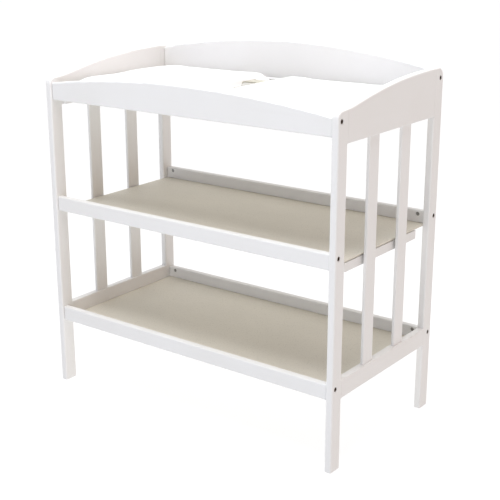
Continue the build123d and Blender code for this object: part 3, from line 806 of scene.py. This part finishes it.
@dataclass
class Strap:
    """The webbing strap: two halves that lie on the pad and loop through the buckle's two bars."""

    half_width: float = 18.6 * MM
    thick: float = 1.5 * MM
    gap: float = 0.3 * MM
    bed_lift: float = 0.6 * MM
    bed_wider: float = 2 * MM
    bed_inside: float = 4 * MM
    bed_reach: float = 6 * MM
    bed_points: int = 60
    bar_in: float = 2.25 * MM
    bar_half: float = 2.0 * MM
    bar_clear: float = 0.1 * MM
    fold_back: float = 44 * MM
    fold_from: float = 12 * MM
    leave_bed: float = 16 * MM
    face_in: float = 0.9 * MM
    face_short: float = 1 * MM
    rough_step: float = 2 * MM
    edge_round: float = 5 * MM
    edge_in: float = 9 * MM
    give_from: float = 8 * MM
    give_to: float = 70 * MM
    wander: float = 0.35 * MM
    wander_pace: float = 0.021
    step: float = 1.5 * MM
    stitch_long: float = 1.25 * MM
    stitch_thick: float = 0.38 * MM
    stitch_rings: int = 5
    stitch_around: int = 6
    stitch_inset: float = 4 * MM
    stitches_across: int = 12
    stitches_along: int = 9

    def bed(self, pad: bpy.types.Object) -> tuple[np.ndarray, np.ndarray]:
        """The pad's top along the strap: the highest point across the strap's width at each depth.

        The heights are averaged over five neighbours, and each stays at least bed_lift above its own.

        Args:
            pad: the finished pad.

        Returns:
            Depths, rising from front to back, and the height at each.
        """
        points = vertex_array(pad.data)
        low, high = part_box("changing_pad")
        under = np.abs(points[:, 0]) < self.half_width + self.bed_wider
        near = points[under & (points[:, 2] > (low.z + high.z) / 2)]
        front, back = near[:, 1].min() + self.bed_inside, near[:, 1].max() - self.bed_inside
        depth = np.linspace(front, back, self.bed_points)
        close = np.abs(near[None, :, 1] - depth[:, None]) < self.bed_reach
        height = np.where(close, near[None, :, 2], low.z).max(1)
        even = np.convolve(np.r_[height[:2], height, height[-2:]], np.ones(5) / 5, "valid")
        return depth, np.maximum(even, height + self.bed_lift)

    def route(self, end: int, bar: tuple[float, float], bed: tuple[np.ndarray, np.ndarray]) -> np.ndarray:
        """The strap's middle line in depth and height, from the pad's lower edge to its folded end.

        Up the pad's face, round its edge, over the bed, up to the bar, half round the bar and back
        over itself.

        Args:
            end: -1 for the front half, +1 for the back half.
            bar: depth and height of the middle of the buckle's bar.
            bed: the pad's top, from bed().

        Returns:
            An N by 2 array of Y and Z.
        """
        low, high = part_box("strap_front_half" if end < 0 else "strap_back_half")
        lift = self.thick / 2 + self.gap
        reach = math.hypot(self.bar_in, self.bar_half) + self.thick / 2 + self.bar_clear
        face_y = (low.y if end < 0 else high.y) - end * self.face_in
        depth, height = bed
        along = np.linspace(face_y - end * self.edge_in, bar[0] + end * self.leave_bed, 70)
        over = np.interp(along, depth, height) + lift
        edge = np.linspace(0.0, math.pi / 2, 9)
        turn_r = self.edge_round
        corner = np.stack([along[0] + end * (self.edge_in - turn_r) + end * turn_r * np.cos(edge),
                           over[0] - turn_r + turn_r * np.sin(edge)], 1)
        rise = np.array([[face_y, low.z + self.face_short],
                         [face_y, over[0] - turn_r - self.face_short]])
        ring = np.linspace(-math.pi / 2, math.pi / 2, 13)
        wrap = np.stack([bar[0] - end * reach * np.cos(ring), bar[1] + reach * np.sin(ring)], 1)
        back = bar[0] + end * np.linspace(self.fold_from, self.fold_back, 14)
        lay = np.interp(back, depth, height) + lift + self.thick + self.gap
        parts = [rise, corner, np.stack([along, over], 1), wrap, np.stack([back, lay], 1)]
        return run_of(self.relax(run_of(np.concatenate(parts), self.rough_step)), self.step)

    def relax(self, line: np.ndarray, rounds: int = 2) -> np.ndarray:
        """Ease the bends of a line: each inner point moves half way to its neighbours' middle.

        Args:
            line: the line's points, changed in place.
            rounds: how many times.

        Returns:
            The same line.
        """
        for _ in range(rounds):
            line[1:-1] = line[1:-1] / 2 + (line[2:] + line[:-2]) / 4
        return line

    def band(self, name: str, line: np.ndarray, material: bpy.types.Material) -> bpy.types.Object:
        """Carry the webbing's section, a flat lens with blunt edges, along a line in the YZ plane.

        The lens is half the thickness times the root of 1 less u to the tenth power, for u from -1 to 1
        across the width, and the line wanders sideways by a slow sine.

        Args:
            name: the piece's name.
            line: Y and Z of the middle line.
            material: the webbing's finish.

        Returns:
            The closed band.
        """
        ahead = np.gradient(line, axis=0)
        ahead /= np.linalg.norm(ahead, axis=1, keepdims=True)
        normal = np.stack([-ahead[:, 1], ahead[:, 0]], 1)
        u = np.linspace(-1.0, 1.0, 15)
        lens = (1 - np.abs(u) ** 10) ** 0.5 * 0.5 * self.thick
        across = np.concatenate([u, u[::-1][1:-1]]) * self.half_width
        raised = np.concatenate([lens, -lens[::-1][1:-1]])
        wander = self.wander * np.sin(np.arange(len(line)) * self.wander_pace)
        x = across[None] + wander[:, None]
        yz = line[:, None] + normal[:, None] * raised[None, :, None]
        points = np.concatenate([x[..., None], yz], 2)
        count = len(across)
        faces = grid_faces(len(line), count, wrap_columns=True).tolist()
        faces += [list(range(count))[::-1], [(len(line) - 1) * count + k for k in range(count)]]
        run = np.arange(len(line)) * self.step
        uv = np.stack([x, np.broadcast_to(run[:, None], x.shape)], 2)
        return mesh_piece(name, points, faces, material, uv)

    def stitches(self, name: str, line: np.ndarray, material: bpy.types.Material) -> bpy.types.Object:
        """A box of lock stitches through the folded end: a row of short beads round a rectangle.

        Each bead is a ball of a few rings, a cosine long and a sine thick, stretched along its row.

        Args:
            name: the piece's name.
            line: the strap's middle line; its last stretch is the folded end.
            material: the thread's finish.

        Returns:
            All the stitches as one piece.
        """
        tail = line[-20:-3]
        y0, y1 = tail[0, 0], tail[-1, 0]
        wide = self.half_width - self.stitch_inset
        across, along = self.stitches_across, self.stitches_along
        long_x = np.linspace(-wide, wide, across)
        long_y = np.linspace(y0, y1, along)
        rows = [np.stack([long_x, np.full(across, y), np.zeros(across)], 1) for y in (y0, y1)]
        rows += [np.stack([np.full(along, x), long_y, np.ones(along)], 1) for x in (-wide, wide)]
        spots = np.concatenate(rows)
        order = np.argsort(tail[:, 0])
        top = np.interp(spots[:, 1], tail[order, 0], tail[order, 1]) + self.thick / 2
        rings, around = self.stitch_rings, self.stitch_around
        t = np.linspace(0.05, math.pi - 0.05, rings)
        a = np.linspace(0, 2 * math.pi, around, endpoint=False)
        long = self.stitch_long * np.cos(t)[:, None] * np.ones(around)
        side = self.stitch_thick * np.sin(t)[:, None] * np.cos(a)
        up = self.stitch_thick * np.sin(t)[:, None] * np.sin(a)
        turned = spots[:, 2, None, None]
        x = spots[:, 0, None, None] + np.where(turned > 0, side, long)
        y = spots[:, 1, None, None] + np.where(turned > 0, long, -side)
        z = top[:, None, None] + up[None]
        points = np.stack([x, y, z], -1)
        start = np.arange(len(spots))[:, None] * rings * around
        one = grid_faces(rings, around, wrap_columns=True)
        faces = (one[None] + start[..., None]).reshape(-1, 4)[:, ::-1].tolist()
        cap = np.arange(around)
        caps = (start + cap).tolist() + (start + (rings - 1) * around + cap[::-1]).tolist()
        return mesh_piece(name, points, faces + caps, material)

    def build(self, pad: bpy.types.Object) -> None:
        """Make both halves with their stitches; the back half and its stitches go with the pad, the front
        stitches with the buckle's tongue, and the front webbing stays where it lies.

        Args:
            pad: the finished pad, on which they lie.
        """
        material = bpy.data.materials["woven_webbing"]
        bed = self.bed(pad)
        halves = ((-1, "strap_front_half", "buckle_tongue"), (1, "strap_back_half", "buckle_body"))
        for end, half, holder in halves:
            low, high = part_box(holder)
            bar = (low.y + self.bar_in if end < 0 else high.y - self.bar_in, (low.z + high.z) / 2)
            line = self.route(end, bar, bed)
            webbing = self.band(half + "_webbing", line, material)
            sewn = self.stitches(half + "_stitches", line, material)
            body = "tongue" if end < 0 else "pad"
            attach(sewn, body)
            if end < 0:
                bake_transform(webbing)
            else:
                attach(webbing, "pad")
            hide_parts(half)
            LOG.info("%s: %.0f mm of webbing", half, len(line) * self.step / MM)


# ---- studio -----------------------------------------------------------------------------------------


@dataclass(frozen=True)
class Lamp:
    """A square soft light that faces the middle of the table."""

    name: str
    place: tuple[float, float, float]
    size: float
    watts: float
    colour: tuple[float, float, float]
    faces: tuple[float, float, float] = (0.0, 0.0, 0.5)

    def build(self) -> None:
        """Make the lamp, turned to the point that it faces."""
        data = bpy.data.lights.new(self.name, "AREA")
        data.size, data.energy, data.color = self.size, self.watts, self.colour
        lamp = bpy.data.objects.new(self.name, data)
        lamp.location = self.place
        ahead = Vector(self.faces) - Vector(self.place)
        lamp.rotation_euler = ahead.to_track_quat("-Z", "Y").to_euler()
        bpy.context.scene.collection.objects.link(lamp)


@dataclass
class Studio:
    """Pale floor, white surroundings, soft lights and the camera."""

    azimuth: float = 38.163
    elevation: float = 17.083
    roll: float = -0.471
    place: tuple[float, float, float] = (1.5932, -2.0829, 1.2175)
    lens: float = 76.458
    sensor: float = 36.0
    shift: tuple[float, float] = (0.05, -0.01)
    floor_half: float = 60.0
    surround_strength: float = 1.0
    cool: Colour = (0.10, 0.115, 0.17, 1.0)
    warm: Colour = (0.50, 0.36, 0.29, 1.0)
    white: Colour = (1.0, 1.0, 1.0, 1.0)
    front_from: float = 0.0
    front_full: float = -0.5
    right_from: float = 0.1
    right_full: float = 0.75
    lamps: tuple[Lamp, ...] = (
        Lamp("overhead", (0.1, -0.7, 3.5), 2.0, 96.0, (0.97, 0.985, 1.0)),
        Lamp("front_fill", (0.8, -3.0, 0.75), 1.2, 16.0, (0.80, 0.90, 1.0)))

    def camera(self) -> None:
        """The camera: its axes come from azimuth, elevation and roll."""
        a, e, q = (math.radians(value) for value in (self.azimuth, self.elevation, self.roll))
        back = Vector((math.sin(a) * math.cos(e), -math.cos(a) * math.cos(e), math.sin(e)))
        right = (-back).cross(Vector((0, 0, 1))).normalized()
        up = right.cross(-back)
        tilted_right = right * math.cos(q) + up * math.sin(q)
        tilted_up = up * math.cos(q) - right * math.sin(q)
        data = bpy.data.cameras.new("camera")
        data.lens, data.sensor_width = self.lens, self.sensor
        data.shift_x, data.shift_y = self.shift
        camera = bpy.data.objects.new("camera", data)
        turn = Matrix((tilted_right, tilted_up, back)).transposed().to_4x4()
        camera.matrix_world = Matrix.Translation(self.place) @ turn
        bpy.context.scene.collection.objects.link(camera)
        bpy.context.scene.camera = camera

    def floor(self) -> None:
        """A large flat floor, a sheet of points that are all at height zero."""
        u = np.linspace(-self.floor_half, self.floor_half, 3)
        x, y = np.meshgrid(u, u)
        points = np.stack([x, y, np.zeros_like(x)], 2)
        piece = mesh_piece("studio_floor", points, grid_faces(3, 3).tolist(), StudioFloor().build())

    def surround(self) -> bpy.types.World:
        """White from behind, cool and dim from the front, and warm and dim from the right.

        Each tint sets in as its direction's part along -Y or +X grows from one value to another.

        Returns:
            The world.
        """
        world = bpy.data.worlds.new("white_studio")
        world.use_nodes = True
        nodes, links = world.node_tree.nodes, world.node_tree.links
        direction = nodes.new("ShaderNodeTexCoord").outputs["Generated"]
        parts = nodes.new("ShaderNodeSeparateXYZ")
        links.new(direction, parts.inputs[0])
        colour: bpy.types.NodeSocket | None = None
        for axis, start, full, tint in (("Y", self.front_from, self.front_full, self.cool),
                                        ("X", self.right_from, self.right_full, self.warm)):
            share = nodes.new("ShaderNodeMapRange")
            share.inputs["From Min"].default_value = start
            share.inputs["From Max"].default_value = full
            links.new(parts.outputs[axis], share.inputs["Value"])
            mix = nodes.new("ShaderNodeMix")
            mix.data_type = "RGBA"
            links.new(share.outputs[0], mix.inputs[0])
            mix.inputs[6].default_value = self.white
            if colour is not None:
                links.new(colour, mix.inputs[6])
            mix.inputs[7].default_value = tint
            colour = mix.outputs[2]
        background = nodes["Background"]
        links.new(colour, background.inputs["Color"])
        background.inputs["Strength"].default_value = self.surround_strength
        return world

    def build(self) -> None:
        """Make the whole studio."""
        scene = bpy.context.scene
        scene.view_settings.view_transform = "Standard"
        scene.world = self.surround()
        for lamp in self.lamps:
            lamp.build()
        self.floor()
        self.camera()
        LOG.info("studio: camera at %s", self.place)


def main() -> None:
    """Dress the frame, make the soft goods and set up the studio."""
    TimberFrame().dress()
    pad = Pad().build()
    Strap().build(pad)
    Studio().build()


if __name__ == "__main__":
    main()
